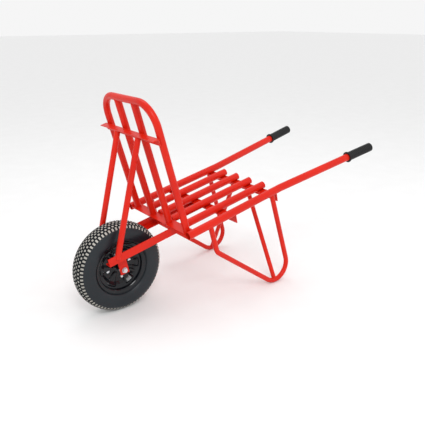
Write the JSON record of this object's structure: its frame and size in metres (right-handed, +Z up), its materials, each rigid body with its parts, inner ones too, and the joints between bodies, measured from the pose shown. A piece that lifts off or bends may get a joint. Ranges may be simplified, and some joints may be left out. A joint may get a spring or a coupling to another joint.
{
  "type": "wheelbarrow",
  "caption": "Flat-bed brick wheelbarrow: slatted tube frame, upright backrest, two loop legs, two gripped handles and one pneumatic front wheel.",
  "frame": {"origin": "on the ground, under the middle of the overall box", "axes": "+X to the handles, -X to the wheel, +Z up, +Y to the pusher's right hand seen from behind the wheel's axle, so left is -Y"},
  "size_m": [1.5054, 0.6252, 0.9212],
  "materials": {
    "frame_paint": "gloss",
    "grip_rubber": "satin",
    "zinc": "satin",
    "rim_paint": "gloss",
    "tyre": "satin",
    "tube_rubber": "matte",
    "nylon": "satin",
    "cap_plastic": "satin"
  },
  "bodies": {
    "frame": {"left_rail": "frame_paint", "right_rail": "frame_paint", "slat_1": "frame_paint", "slat_2": "frame_paint", "slat_3": "frame_paint", "slat_4": "frame_paint", "front_cross_member": "frame_paint", "middle_cross_member": "frame_paint", "rear_cross_member": "frame_paint", "backrest_hoop": "frame_paint", "left_backrest_bar": "frame_paint", "right_backrest_bar": "frame_paint", "backrest_crossbar": "frame_paint", "left_strut": "frame_paint", "right_strut": "frame_paint", "left_fork_arm": "frame_paint", "right_fork_arm": "frame_paint", "left_axle_bracket": "frame_paint", "right_axle_bracket": "frame_paint", "left_leg": "frame_paint", "right_leg": "frame_paint", "left_leg_brace": "frame_paint", "right_leg_brace": "frame_paint", "left_grip": "grip_rubber", "right_grip": "grip_rubber", "axle_bolt": "zinc", "axle_nut": "zinc", "axle_washers": "zinc", "left_axle_spacer": "zinc", "right_axle_spacer": "zinc"},
    "wheel": {"tyre": "tyre", "inner_tube": "tube_rubber", "left_rim_half": "rim_paint", "right_rim_half": "rim_paint", "rim_bolts": "zinc", "rim_nuts": "zinc", "hub_tube": "rim_paint", "left_hub_bushing": "nylon", "right_hub_bushing": "nylon", "valve_stem": "tube_rubber", "valve_cap": "cap_plastic"}
  },
  "joints": [
    {"name": "wheel_spin", "type": "hinge", "parent": "frame", "child": "wheel", "pos_m": [-0.55268, 0, 0.2], "axis": [0, 1, 0], "continuous": true}
  ]
}
